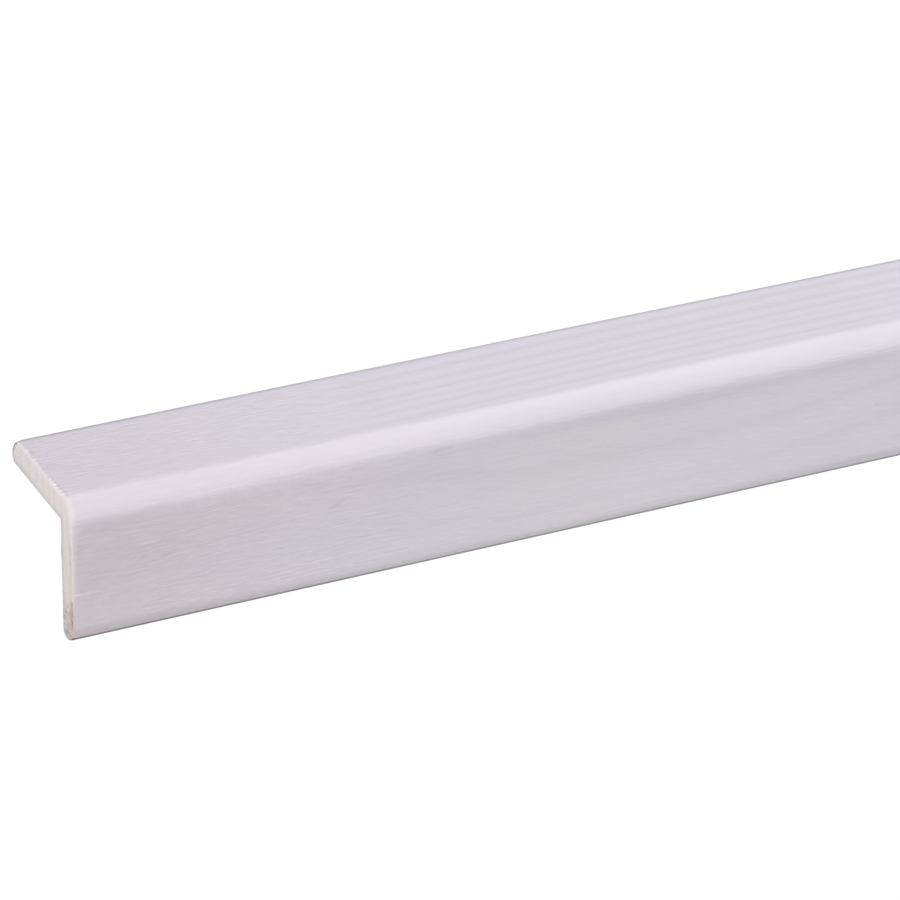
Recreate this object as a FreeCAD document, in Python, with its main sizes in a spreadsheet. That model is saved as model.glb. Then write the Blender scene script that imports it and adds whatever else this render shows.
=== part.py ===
# Corner guard moulding: one length of timber trim with a rounded L section.
# It lies as a roof on its two free edges, with its length along X and its corner on top.
import FreeCAD, Part
import Sketcher
import os
from enum import IntEnum
from math import radians

# Driving dimensions in millimetres: name, value, what it measures
SIZES = [
    ("stock_length", 2400, "length of the piece as it is sold"),
    ("leg_width", 27, "width of each leg, from the outer corner to its free edge"),
    ("leg_thickness", 5, "thickness of both legs"),
    ("corner_round", 4.2, "outside radius of the corner"),
    ("nose_inner_round", 1.5, "radius on the wall side of each free edge"),
]

# Angles in degrees: a round turns through a right angle, and half of that about X
# stands the right-angled section on both its free edges
QUARTER_TURN = 90.0
REST_TURN = -QUARTER_TURN / 2


class Point(IntEnum):
    """The points of a line or a round that a constraint can name."""
    START = 1
    END = 2
    CENTRE = 3


class Axis(IntEnum):
    """The sketch's own axes; the start of either is its origin."""
    ACROSS = -1
    UPRIGHT = -2


def make_size_sheet(doc):
    """The sheet of driving dimensions, each cell with its name as alias."""
    sheet = doc.addObject("Spreadsheet::Sheet", "sizes")
    for row, (name, value, meaning) in enumerate(SIZES, start=1):
        sheet.set(f"A{row}", name)
        sheet.set(f"B{row}", str(value))
        sheet.setAlias(f"B{row}", name)
        sheet.set(f"C{row}", meaning)
    doc.recompute()
    return sheet


def origin_plane(body, role):
    """One of the body's own origin planes, found by its role."""
    return next(plane for plane in body.Origin.OriginFeatures if plane.Role == role)


def add_line(sketch, start, end):
    """A straight side of the section, from start to end."""
    return sketch.addGeometry(Part.LineSegment(FreeCAD.Vector(*start), FreeCAD.Vector(*end)))


def add_round(sketch, centre, radius, first_angle):
    """A quarter round of the section, counter-clockwise from first_angle in degrees."""
    circle = Part.Circle(FreeCAD.Vector(*centre), FreeCAD.Vector(0, 0, 1), radius)
    last_angle = first_angle + QUARTER_TURN
    return sketch.addGeometry(Part.ArcOfCircle(circle, radians(first_angle), radians(last_angle)))


def constrain(sketch, *terms):
    """One constraint of the section; gives its number."""
    return sketch.addConstraint(Sketcher.Constraint(*terms))


def dimension(sketch, name, size, *terms):
    """A named dimension of the section that follows a size in the sheet."""
    sketch.renameConstraint(constrain(sketch, *terms), name)
    sketch.setExpression(f"Constraints.{name}", f"sizes.{size}")


def draw_section(sketch, sheet):
    """The L section: one leg level, one leg down, and a full-round nose on each free edge.

    The sketch's origin is where the two outer faces would meet without the corner round.
    A nose is two quarter rounds that meet at its tip, so their radii add up to the
    leg's thickness.
    """
    width = sheet.leg_width
    thickness = sheet.leg_thickness
    corner = sheet.corner_round
    inner = sheet.nose_inner_round
    outer = thickness - inner

    # Sides and rounds, clockwise from the corner
    level_face = add_line(sketch, (corner, 0), (width - outer, 0))
    level_nose = add_round(sketch, (width - outer, -outer), outer, 0)
    level_heel = add_round(sketch, (width - inner, -outer), inner, 270)
    level_back = add_line(sketch, (width - inner, -thickness), (thickness, -thickness))
    down_back = add_line(sketch, (thickness, -thickness), (thickness, inner - width))
    down_heel = add_round(sketch, (outer, inner - width), inner, 270)
    down_nose = add_round(sketch, (outer, outer - width), outer, 180)
    down_face = add_line(sketch, (0, outer - width), (0, -corner))
    corner_arc = add_round(sketch, (corner, -corner), corner, 90)

    # All joins are smooth but the sharp inside corner
    smooth_joins = [
        (level_face, Point.END, level_nose, Point.END),
        (level_nose, Point.START, level_heel, Point.END),
        (level_heel, Point.START, level_back, Point.START),
        (down_back, Point.END, down_heel, Point.END),
        (down_heel, Point.START, down_nose, Point.END),
        (down_nose, Point.START, down_face, Point.START),
        (down_face, Point.END, corner_arc, Point.END),
        (corner_arc, Point.START, level_face, Point.START),
    ]
    for join in smooth_joins:
        constrain(sketch, "Tangent", *join)
    constrain(sketch, "Coincident", level_back, Point.END, down_back, Point.START)

    # Square legs, with their outer faces on the sketch's axes
    for side in (level_face, level_back):
        constrain(sketch, "Horizontal", side)
    for side in (down_face, down_back):
        constrain(sketch, "Vertical", side)
    constrain(sketch, "PointOnObject", level_face, Point.START, Axis.ACROSS)
    constrain(sketch, "PointOnObject", down_face, Point.START, Axis.UPRIGHT)

    # Each nose and its heel turn about centres in line with the nose's tip
    constrain(sketch, "Horizontal", level_nose, Point.CENTRE, level_heel, Point.CENTRE)
    constrain(sketch, "Vertical", down_nose, Point.CENTRE, down_heel, Point.CENTRE)
    constrain(sketch, "Equal", level_heel, down_heel)

    origin = (Axis.ACROSS, Point.START)
    dimension(sketch, "corner_radius", "corner_round", "Radius", corner_arc, corner)
    dimension(sketch, "heel_radius", "nose_inner_round", "Radius", level_heel, inner)
    dimension(sketch, "level_thickness", "leg_thickness",
              "DistanceY", level_back, Point.END, *origin, thickness)
    dimension(sketch, "down_thickness", "leg_thickness",
              "DistanceX", *origin, down_back, Point.START, thickness)
    dimension(sketch, "level_width", "leg_width",
              "DistanceX", *origin, level_nose, Point.START, width)
    dimension(sketch, "down_width", "leg_width",
              "DistanceY", down_nose, Point.END, *origin, width)


def make_corner_moulding(doc, sheet):
    """The whole moulding: its section run both ways from the middle of the length."""
    body = doc.addObject("PartDesign::Body", "corner_moulding")
    section = body.newObject("Sketcher::SketchObject", "section")
    section.AttachmentSupport = [(origin_plane(body, "YZ_Plane"), "")]
    section.MapMode = "FlatFace"
    draw_section(section, sheet)

    run = body.newObject("PartDesign::Pad", "run")
    run.Profile = section
    run.SideType = "Symmetric"
    run.setExpression("Length", "sizes.stock_length")

    # Turned corner up, and lifted until the heels of both free edges touch the floor
    turn = FreeCAD.Rotation(FreeCAD.Vector(1, 0, 0), REST_TURN)
    body.Placement = FreeCAD.Placement(FreeCAD.Vector(0, 0, 0), turn)
    body.setExpression(
        "Placement.Base.z",
        "(sizes.leg_width + sizes.leg_thickness - (2 - sqrt(2)) * sizes.nose_inner_round) / sqrt(2)")
    return body


def check_document(doc, bodies):
    """Stops when an object failed or a sub-part isn't one sound solid."""
    for item in doc.Objects:
        if {"Invalid", "Error"} & set(item.State):
            raise RuntimeError(f"{item.Label} failed: {item.State}")
        if item.TypeId == "Sketcher::SketchObject" and not item.FullyConstrained:
            raise RuntimeError(f"{item.Label} isn't fully constrained")
    for body in bodies:
        shape = body.Shape
        if shape.isNull() or not shape.isValid() or len(shape.Solids) != 1:
            raise RuntimeError(f"{body.Label} isn't one valid solid")


def write_parts(bodies):
    """One STEP file for each sub-part, named by its label."""
    os.makedirs("parts", exist_ok=True)
    for body in bodies:
        box = body.Shape.BoundBox
        print(f"{body.Label}: {body.Shape.Volume:.1f} mm3, "
              f"{box.XLength:.3f} x {box.YLength:.3f} x {box.ZLength:.3f} mm, "
              f"lowest point {box.ZMin:.4f}")
        body.Shape.exportStep(os.path.join("parts", f"{body.Label}.step"))


doc = FreeCAD.newDocument("corner_guard_moulding")
size_sheet = make_size_sheet(doc)
bodies = [make_corner_moulding(doc, size_sheet)]
doc.recompute()
check_document(doc, bodies)
write_parts(bodies)
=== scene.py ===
# Looks of the corner guard moulding: white-primed softwood, lying as a roof on its free edges.
import bmesh
import bpy
import math
from functools import reduce
from mathutils import Matrix, Vector, noise


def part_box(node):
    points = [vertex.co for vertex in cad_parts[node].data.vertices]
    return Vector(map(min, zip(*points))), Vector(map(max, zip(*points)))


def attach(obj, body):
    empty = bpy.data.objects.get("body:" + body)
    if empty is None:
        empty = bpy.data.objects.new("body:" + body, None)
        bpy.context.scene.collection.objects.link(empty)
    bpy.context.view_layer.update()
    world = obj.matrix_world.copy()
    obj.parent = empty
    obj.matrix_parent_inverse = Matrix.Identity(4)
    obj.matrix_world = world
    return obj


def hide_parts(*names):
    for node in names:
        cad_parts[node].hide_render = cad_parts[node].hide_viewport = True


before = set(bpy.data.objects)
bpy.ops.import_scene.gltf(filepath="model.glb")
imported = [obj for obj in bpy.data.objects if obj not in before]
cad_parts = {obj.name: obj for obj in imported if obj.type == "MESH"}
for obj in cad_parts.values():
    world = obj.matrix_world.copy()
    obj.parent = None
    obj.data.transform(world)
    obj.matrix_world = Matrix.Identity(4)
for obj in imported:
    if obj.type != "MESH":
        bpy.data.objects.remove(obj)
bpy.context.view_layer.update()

# Lengths are in millimetres, which MM turns into metres; the floor's and the lamps' are in metres
MM = 0.001

# The moulding's section, as in its construction
LEG_WIDTH = 27
LEG_THICKNESS = 5
CORNER_ROUND = 4.2
HEEL_ROUND = 1.5
NOSE_ROUND = LEG_THICKNESS - HEEL_ROUND
NODE = "corner_moulding"
NEAR_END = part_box(NODE)[0].x / MM
LENGTH = (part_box(NODE)[1].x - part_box(NODE)[0].x) / MM

# Turned half a right angle about X, the section stands on both heels
REST_TURN = math.radians(-45)
CORNER_LINE_HEIGHT = (LEG_WIDTH + LEG_THICKNESS - (2 - math.sqrt(2)) * HEEL_ROUND) / math.sqrt(2)
STAND_UP = (Matrix.Translation(Vector((NEAR_END, 0, CORNER_LINE_HEIGHT)) * MM)
            @ Matrix.Rotation(REST_TURN, 4, "X") @ Matrix.Diagonal((MM, MM, MM, 1)))

# Lengths that count as nothing and as equal, how much nearer the nearer of two has to be, and the
# angle from which an edge is sharp
NOTHING = 0.001
EQUAL = 0.01
NEARER = 1e-6
SHARP_EDGE = math.radians(35)

# The material's number on the sawn ends, and the decimals that tell places in the section apart
SAWN = 1
PLACE_DECIMALS = 4

# Fineness of the mesh across the section
CORNER_STEPS = 14
NOSE_STEPS = 11
HEEL_STEPS = 4
FACE_CUTS = 59
BACK_CUTS = 20

# Fineness along the length: close steps in the first stretch, long ones after it
FIRST_STEP = 0.14
STEP_GROWTH = 0.35
CLOSE_STEP = 1.25
CLOSE_STRETCH = 172.0
LONG_STEP = 16.0
LONG_GROWTH = 0.08
NEAR_END_GRID = 0.27
FAR_END_GRID = 1.1

# Growth rings: how much farther from the pith than the corner line each dark line lies, and how
# strongly it shows. Past these the rings are RING_WIDTH apart.
RING_PLACES = (19.9, 16.1, 13.05, 10.6, 8.3, 5.0, 2.95, 0.43, -0.97)
RING_STRENGTHS = (1.0, 1.0, 1.0, 0.45, 0.95, 0.8, 0.5, 0.8, 0.9)
RING_WIDTH = 3.3
RING_SOFTNESS = 0.25
PITH_DISTANCE = 49.0

# How strongly the rings show on the corner, and how much more on the level and the front face;
# the girths between which those begin or fade, and the distances over which all appear
CORNER_RINGS = 0.25
LEVEL_RINGS = 0.75
FRONT_RINGS = 0.25
LEVEL_RINGS_FADE = (23.5, 25.5)
FRONT_RINGS_BEGIN = (30.5, 33.0)
FRONT_RINGS_FADE = (45.0, 48.0)
FRONT_RINGS_LOST = 0.6
RINGS_APPEAR = (42.0, 74.0)

# How the log lies along the piece: its rings drift outwards and its pith climbs, with one dip,
# and past the first stretch both swing in long waves (half height, and length of a radian)
DRIFT_START = 0.6
DRIFT = 0.95
DRIFT_MIDDLE = 78.0
DRIFT_SPREAD = 40.0
DRIFT_WAVES = ((1.6, 150.0), (-1.1, 71.0))
PITH_CLIMB = 7.0
PITH_CLIMBS = (97.0, 193.0)
PITH_DIP = 1.4
PITH_DIP_PLACE = 83.0
PITH_DIP_SPREAD = 9.0
PITH_WAVES = ((-5.5, 117.0),)
WAVES_BEGIN = 160.0

# Relief: the faces lie a skin's depth inside the nominal ones, and only torn fibres pass those
SKIN = 0.024
MOST_PROUD = 0.9 * SKIN
RING_RELIEF = 0.02
GRAIN_RELIEF = 0.008
GRAIN_LENGTH = 9.0
GRAIN_WIDTH = 0.6
OUTER_ARRIS = 0.1
WALL_ARRIS = 0.02

# Fibres torn up along the sawn near edge: place round the girth, half width, length, height
BURRS = (
    (5.9, 0.45, 0.45, 0.035), (7.0, 0.35, 0.50, 0.04), (8.6, 0.70, 0.85, 0.07),
    (10.0, 0.35, 0.50, 0.04), (11.9, 0.32, 0.60, 0.08), (13.0, 0.40, 0.65, 0.08),
    (14.9, 0.45, 0.40, 0.04), (16.4, 0.45, 0.50, 0.05), (17.6, 0.35, 0.40, 0.04),
    (19.1, 0.28, 0.60, 0.10), (20.1, 0.33, 0.75, 0.08), (21.1, 0.40, 0.80, 0.12),
    (22.4, 0.24, 0.80, 0.12), (23.6, 0.28, 0.90, 0.10), (24.7, 0.32, 0.80, 0.10),
    (72.8, 1.50, 2.50, 0.22),
)
FULL_BURR = 0.09

# How many times its own length a torn fibre reaches along the piece
FIBRE_REACH = 4

# The gap beside each torn fibre, as shares of the fibre: place across and along, length, depth
GAP_ACROSS = 0.9
GAP_ALONG = 0.75
GAP_LENGTH = 0.4
GAP_DEPTH = 0.85

# The knocked corner of the level leg's nose at the near end
BRUISE_GIRTH = 2.4
BRUISE_HALF_WIDTH = 1.8
BRUISE_DEPTH = 0.24
BRUISE_LENGTH = 1.3

# The saw's marks on both ends, which lie a little inside their nominal faces
SAWN_INSIDE = 0.01
SAWN_RELIEF = 0.03
SAWN_FINENESS = 1.9
SAWN_SEED = 3.0

# Turn of each round in degrees, and the turn past which a point is nearer to the round's start
ROUND_TURN = 90
FAR_SIDE = 225


def outline_pieces():
    """The section's outline in order from the level leg's nose tip: lines, and rounds that
    turn a quarter counter-clockwise from a first angle."""
    width, thickness = LEG_WIDTH, LEG_THICKNESS
    corner, nose, heel = CORNER_ROUND, NOSE_ROUND, HEEL_ROUND
    return [
        ("round", (width - nose, -nose), nose, 0),
        ("line", (width - nose, 0), (corner, 0)),
        ("round", (corner, -corner), corner, 90),
        ("line", (0, -corner), (0, nose - width)),
        ("round", (nose, nose - width), nose, 180),
        ("round", (nose, heel - width), heel, 270),
        ("line", (thickness, heel - width), (thickness, -thickness)),
        ("line", (thickness, -thickness), (width - heel, -thickness)),
        ("round", (width - heel, heel - thickness), heel, 270),
    ]


def piece_length(piece):
    """Length of one piece of the outline."""
    if piece[0] == "round":
        return piece[2] * math.radians(ROUND_TURN)
    return math.dist(piece[1], piece[2])


OUTLINE = outline_pieces()
OUTER_PIECES = 5
GIRTH = sum(piece_length(piece) for piece in OUTLINE)
OUTER_GIRTH = sum(piece_length(piece) for piece in OUTLINE[:OUTER_PIECES])


def place_on_piece(piece, y, z):
    """How far a point lies off one piece of the outline, and how far along it."""
    if piece[0] == "round":
        _, (cy, cz), radius, first = piece
        turn = (math.degrees(math.atan2(z - cz, y - cy)) - first) % 360
        if turn > FAR_SIDE:
            turn -= 360
        turn = min(max(turn, 0), ROUND_TURN)
        angle = math.radians(first + turn)
        nearest = (cy + radius * math.cos(angle), cz + radius * math.sin(angle))
        return math.dist(nearest, (y, z)), radius * math.radians(turn)
    _, start, end = piece
    length = math.dist(start, end)
    share = ((y - start[0]) * (end[0] - start[0]) + (z - start[1]) * (end[1] - start[1])) / length ** 2
    share = min(max(share, 0), 1)
    nearest = (start[0] + share * (end[0] - start[0]), start[1] + share * (end[1] - start[1]))
    return math.dist(nearest, (y, z)), share * length


def girth_at(y, z):
    """Distance round the section, from the level leg's nose tip over the corner, of a point on it."""
    best, passed = (math.inf, 0), 0
    for piece in OUTLINE:
        off, along = place_on_piece(piece, y, z)
        if off < best[0] - NEARER:
            best = (off, passed + along)
        passed += piece_length(piece)
    return best[1]


def depth_and_girth(y, z):
    """Depth of a point under the outer faces, its girth there, and its depth from the wall side."""
    outer, inner, passed = (math.inf, 0), math.inf, 0
    for number, piece in enumerate(OUTLINE):
        off, along = place_on_piece(piece, y, z)
        if number >= OUTER_PIECES:
            inner = min(inner, off)
        elif off < outer[0]:
            outer = (off, passed + along)
        passed += piece_length(piece)
    return outer[0], outer[1], inner


def smooth_step(low, high, value):
    """0 below low, 1 above high, and a smooth rise between them."""
    share = min(max((value - low) / (high - low), 0), 1)
    return share * share * (3 - 2 * share)


# Growth rings

def long_waves(along, waves):
    """The sum of the log's long waves at this distance along the piece."""
    beyond = max(0, along - WAVES_BEGIN)
    return sum(height * (1 - math.cos(beyond / length)) for height, length in waves)


def log_drift(along):
    """How far the rings have moved out from the pith by this distance along the piece."""
    drift = DRIFT * math.tanh((along - DRIFT_MIDDLE) / DRIFT_SPREAD)
    return DRIFT_START + drift + long_waves(along, DRIFT_WAVES)


def pith_height(along):
    """Height of the pith over the corner line."""
    dip = PITH_DIP * math.exp(-((along - PITH_DIP_PLACE) / PITH_DIP_SPREAD) ** 2)
    return PITH_CLIMB * smooth_step(*PITH_CLIMBS, along) - dip + long_waves(along, PITH_WAVES)


def growth_at(along, y, z):
    """Ring number at a point of the timber: whole numbers are the dark lines."""
    out = math.hypot(y + PITH_DISTANCE, z - pith_height(along)) - PITH_DISTANCE - log_drift(along)
    if out >= RING_PLACES[0]:
        return (RING_PLACES[0] - out) / RING_WIDTH
    for number in range(len(RING_PLACES) - 1):
        outer, inner = RING_PLACES[number], RING_PLACES[number + 1]
        if out >= inner:
            return number + (outer - out) / (outer - inner)
    return len(RING_PLACES) - 1 + (RING_PLACES[-1] - out) / RING_WIDTH


def ring_show(growth, along, girth):
    """How strongly the ring near this number shows: most on the level leg, least on the corner."""
    number = min(max(growth, 0), len(RING_STRENGTHS) - 1 - NOTHING)
    first = int(number)
    rest = number - first
    strength = RING_STRENGTHS[first] * (1 - rest) + RING_STRENGTHS[first + 1] * rest
    level = 1 - smooth_step(*LEVEL_RINGS_FADE, girth)
    front = smooth_step(*FRONT_RINGS_BEGIN, girth)
    front *= 1 - FRONT_RINGS_LOST * smooth_step(*FRONT_RINGS_FADE, girth)
    face = CORNER_RINGS + LEVEL_RINGS * level + FRONT_RINGS * front
    return strength * smooth_step(*RINGS_APPEAR, along) * face


def ring_tone(growth):
    """Height and lightness across a ring: low on its dark line, high between two."""
    off = growth - round(growth)
    return RING_SOFTNESS * math.sqrt(math.pi) - math.exp(-(off / RING_SOFTNESS) ** 2)


# The moulding's mesh

def round_corner(bm, y, z, radius, steps):
    """Rounds the section's vertex at y, z."""
    vertex = min(bm.verts, key=lambda v: (v.co.y - y) ** 2 + (v.co.z - z) ** 2)
    bmesh.ops.bevel(bm, geom=[vertex], offset=radius, offset_type="OFFSET", segments=steps,
                    profile=0.5, affect="VERTICES", material=-1, clamp_overlap=False)


def l_section(bm):
    """The L section at the near end: one leg level along +Y, one leg down along -Z."""
    width, thickness = LEG_WIDTH, LEG_THICKNESS
    corners = [(0, 0), (width, 0), (width, -thickness), (thickness, -thickness),
               (thickness, -width), (0, -width)]
    bm.faces.new([bm.verts.new((0, y, z)) for y, z in corners])
    round_corner(bm, 0, 0, CORNER_ROUND, CORNER_STEPS)
    round_corner(bm, width, 0, NOSE_ROUND, NOSE_STEPS)
    round_corner(bm, width, -thickness, HEEL_ROUND, HEEL_STEPS)
    round_corner(bm, 0, -width, NOSE_ROUND, NOSE_STEPS)
    round_corner(bm, thickness, -width, HEEL_ROUND, HEEL_STEPS)
    bmesh.ops.remove_doubles(bm, verts=bm.verts, dist=NOTHING)
    return bm.faces[:][0]


def edges_as_long_as(bm, length):
    """The edges of this length."""
    return [e for e in bm.edges if abs(e.calc_length() - length) < EQUAL]


def step_after(along):
    """Length of the mesh's step at this distance from the near end."""
    from_end = min(along, LENGTH - along)
    fine = FIRST_STEP + STEP_GROWTH * from_end
    coarse = CLOSE_STEP + LONG_GROWTH * max(0, along - CLOSE_STRETCH)
    return min(fine, coarse, LONG_STEP)


def stations():
    """Distances from the near end at which the mesh has a ring of vertices."""
    places = [0.0]
    while places[-1] < LENGTH:
        places.append(places[-1] + step_after(places[-1]))
    return [place * LENGTH / places[-1] for place in places]


def run_to_length(bm, section):
    """Runs the section to the far end and divides it along the length and across the legs."""
    places = stations()
    run = bmesh.ops.extrude_face_region(bm, geom=[section])
    far = [g for g in run["geom"] if isinstance(g, bmesh.types.BMVert)]
    bmesh.ops.translate(bm, vec=(LENGTH, 0, 0), verts=far)
    caps = [f for f in bm.faces if len(f.verts) > 4]
    bmesh.ops.delete(bm, geom=caps, context="FACES_ONLY")
    face_width = LEG_WIDTH - CORNER_ROUND - NOSE_ROUND
    back_width = LEG_WIDTH - LEG_THICKNESS - HEEL_ROUND
    for length, cuts in ((face_width, FACE_CUTS), (back_width, BACK_CUTS), (LENGTH, len(places) - 2)):
        edges = edges_as_long_as(bm, length)
        bmesh.ops.subdivide_edges(bm, edges=edges, cuts=cuts, use_grid_fill=True)
    for vertex in bm.verts:
        vertex.co.x = places[round(vertex.co.x / LENGTH * (len(places) - 1))]


def section_key(vertex):
    """The same for vertices that share one place in the section."""
    return round(vertex.co.y, PLACE_DECIMALS), round(vertex.co.z, PLACE_DECIMALS)


def mark_places(bm):
    """Keeps on the mesh where each point lies: unrolled, in the section and in the log."""
    unrolled = bm.loops.layers.float_vector.new("unrolled")
    growth = bm.verts.layers.float.new("growth")
    show = bm.verts.layers.float.new("ring_show")
    bm.verts.layers.float_vector.new("section")
    known = {}
    for vertex in bm.verts:
        girth = known.setdefault(section_key(vertex), girth_at(vertex.co.y, vertex.co.z))
        vertex[growth] = growth_at(*vertex.co)
        vertex[show] = ring_show(vertex[growth], vertex.co.x, girth)
    for face in bm.faces:
        girths = [known[section_key(vertex)] for vertex in face.verts]
        for loop, girth in zip(face.loops, girths):
            if max(girths) - girth > GIRTH / 2:
                girth += GIRTH
            along = loop.vert.co.x
            loop[unrolled] = (along, girth, min(along, LENGTH - along))
    return known


def torn_fibre(along, girth):
    """Height of the fibres torn up at the near edge, less than 0 in the gaps beside them."""
    total_height = 0.0
    for place, half_width, length, height in BURRS:
        if along > FIBRE_REACH * length:
            continue
        fibre = math.exp(-((girth - place) / half_width) ** 2 - (along / length) ** 2)
        gap = math.exp(-((girth - place - GAP_ACROSS * half_width) / half_width) ** 2
                       - ((along - GAP_ALONG * length) / (GAP_LENGTH * length)) ** 2)
        total_height += height * (fibre - GAP_DEPTH * gap)
    return total_height


def bruise(along, girth):
    """How far the knocked corner is pushed in."""
    across = math.exp(-((girth - BRUISE_GIRTH) / BRUISE_HALF_WIDTH) ** 2)
    return BRUISE_DEPTH * across * (1 - smooth_step(0, BRUISE_LENGTH, along))


def face_relief(along, girth, growth, show, fibre):
    """How far the primed surface lies outside its nominal face."""
    rings = RING_RELIEF * ring_tone(growth) * show
    grain = GRAIN_RELIEF * noise.noise((along / GRAIN_LENGTH, girth / GRAIN_WIDTH, 0))
    from_end = min(along, LENGTH - along)
    arris = WALL_ARRIS if girth > OUTER_GIRTH else OUTER_ARRIS
    arris *= math.exp(-(from_end / FIRST_STEP) ** 2)
    proud = min(rings + grain, MOST_PROUD) + fibre
    return proud - SKIN - arris * (1 - min(max(fibre / FULL_BURR, 0), 1)) - bruise(along, girth)


def add_face_relief(bm, girths):
    """Moves every point of the faces along its normal by the relief there."""
    bm.normal_update()
    growth = bm.verts.layers.float["growth"]
    show = bm.verts.layers.float["ring_show"]
    torn = bm.verts.layers.float.new("fibre")
    moves = []
    for vertex in bm.verts:
        girth = girths[section_key(vertex)]
        fibre = torn_fibre(vertex.co.x, girth)
        vertex[torn] = fibre / FULL_BURR
        relief = face_relief(vertex.co.x, girth, vertex[growth], vertex[show], fibre)
        moves.append(vertex.normal * relief)
    for vertex, move in zip(bm.verts, moves):
        vertex.co += move


def cut_into_grid(bm, cap, pitch):
    """Divides an end's face into squares of about this pitch; gives its faces."""
    geom = [cap] + cap.edges[:] + cap.verts[:]
    cuts = round(LEG_WIDTH / pitch)
    for number in range(1, cuts):
        place = number * LEG_WIDTH / cuts
        for point, normal in (((0, place, 0), (0, 1, 0)), ((0, 0, -place), (0, 0, 1))):
            cut = bmesh.ops.bisect_plane(bm, geom=geom, dist=NOTHING, plane_co=point, plane_no=normal)
            geom = cut["geom"]
    return [g for g in geom if isinstance(g, bmesh.types.BMFace)]


def end_relief(y, z):
    """How far the sawn end lies inside its nominal face."""
    pattern = noise.noise((y * SAWN_FINENESS, z * SAWN_FINENESS, SAWN_SEED))
    return SAWN_INSIDE + SAWN_RELIEF * (1 + pattern)


def close_end(bm, at_far_end, pitch):
    """One sawn end, with a fine grid and relief of its own."""
    rim = [e for e in bm.edges if e.is_boundary and (e.verts[0].co.x > LENGTH / 2) == at_far_end]
    cap = bmesh.ops.holes_fill(bm, edges=rim, sides=0)["faces"][0]
    faces = cut_into_grid(bm, cap, pitch)
    growth = bm.verts.layers.float["growth"]
    section = bm.verts.layers.float_vector["section"]
    inward = -1 if at_far_end else 1
    for face in faces:
        face.material_index = SAWN
    for vertex in {v for f in faces for v in f.verts}:
        vertex[growth] = growth_at(*vertex.co)
        depth, girth, inner = depth_and_girth(vertex.co.y, vertex.co.z)
        vertex[section] = max(0, depth - SKIN - bruise(vertex.co.x, girth)), girth, inner
        if all(f.material_index == SAWN for f in vertex.link_faces):
            vertex.co.x += inward * end_relief(vertex.co.y, vertex.co.z)


# Layout of the texture: side and margins in pixels, the near stretch and how far past it the ends
# lie in millimetres, pixels per millimetre of both, and the rows that hold the rest
TEXTURE_SIDE = 1024
TEXTURE_MARGIN = 4
NEAR_STRETCH = 180.0
CAP_GAP = 2.0
NEAR_SCALE = 4.9
CAP_SCALE = 4.5
ROWS = 3


def near_place(along, girth):
    """Texture place of a point in the first stretch, which has the finest texture."""
    return TEXTURE_MARGIN + along * NEAR_SCALE, TEXTURE_MARGIN + girth * NEAR_SCALE


def row_place(along, girth, row):
    """Texture place of a point in one of the rows that hold the rest of the length."""
    row_length = (LENGTH - NEAR_STRETCH) / ROWS
    first = near_place(0, GIRTH)[1] + TEXTURE_MARGIN
    height = (TEXTURE_SIDE - first) / ROWS - TEXTURE_MARGIN
    scale = (TEXTURE_SIDE - 2 * TEXTURE_MARGIN) / (row_length + LONG_STEP)
    across = along - NEAR_STRETCH - row * row_length + LONG_STEP / 2
    return (TEXTURE_MARGIN + across * scale,
            first + row * (height + TEXTURE_MARGIN) + girth * height / GIRTH)


def cap_place(y, z, at_far_end):
    """Texture place of a point of a sawn end."""
    left = near_place(NEAR_STRETCH + CAP_GAP, 0)[0] + TEXTURE_MARGIN
    foot = TEXTURE_MARGIN + at_far_end * (LEG_WIDTH * CAP_SCALE + TEXTURE_MARGIN)
    return left + y * CAP_SCALE, foot + (LEG_WIDTH + z) * CAP_SCALE


def lay_out_textures(bm):
    """The texture map: the near stretch and both ends large, the long plain rest in rows."""
    layer = bm.loops.layers.uv.new("OFBake")
    unrolled = bm.loops.layers.float_vector["unrolled"]
    row_length = (LENGTH - NEAR_STRETCH) / ROWS
    for face in bm.faces:
        middle = face.calc_center_median().x
        row = min(int((middle - NEAR_STRETCH) / row_length), ROWS - 1)
        for loop in face.loops:
            along, girth, _ = loop[unrolled]
            if face.material_index == SAWN:
                place = cap_place(loop.vert.co.y, loop.vert.co.z, middle > LENGTH / 2)
            elif middle < NEAR_STRETCH:
                place = near_place(along, girth)
            else:
                place = row_place(along, girth, row)
            loop[layer].uv = [pixels / TEXTURE_SIDE for pixels in place]


def moulding_mesh():
    """The moulding's own mesh, as it lies on its free edges."""
    bm = bmesh.new()
    run_to_length(bm, l_section(bm))
    bmesh.ops.recalc_face_normals(bm, faces=bm.faces)
    girths = mark_places(bm)
    add_face_relief(bm, girths)
    close_end(bm, False, NEAR_END_GRID)
    close_end(bm, True, FAR_END_GRID)
    lay_out_textures(bm)
    bmesh.ops.recalc_face_normals(bm, faces=bm.faces)
    for face in bm.faces:
        face.smooth = True
    for edge in bm.edges:
        edge.smooth = edge.calc_face_angle(0) < SHARP_EDGE
    bmesh.ops.transform(bm, matrix=STAND_UP, verts=bm.verts)
    return bm


def new_mesh_object(name, bm, materials):
    """An object at the origin that holds the bmesh and wears the materials."""
    mesh = bpy.data.meshes.new(name)
    bm.to_mesh(mesh)
    bm.free()
    piece = bpy.data.objects.new(name, mesh)
    bpy.context.scene.collection.objects.link(piece)
    for material in materials:
        mesh.materials.append(material)
    return piece


# Shader building

def add_node(tree, kind, values=None, **settings):
    """A node of this kind; values holds plain numbers, or other nodes' outputs, by socket."""
    node = tree.nodes.new("ShaderNode" + kind)
    for name, value in settings.items():
        setattr(node, name, value)
    for socket, value in (values or {}).items():
        fill_socket(tree, node.inputs[socket], value)
    return node


def fill_socket(tree, socket, value):
    """Gives a socket a plain value, or links it to another node's output."""
    if isinstance(value, bpy.types.NodeSocket):
        tree.links.new(value, socket)
    else:
        socket.default_value = value


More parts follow.
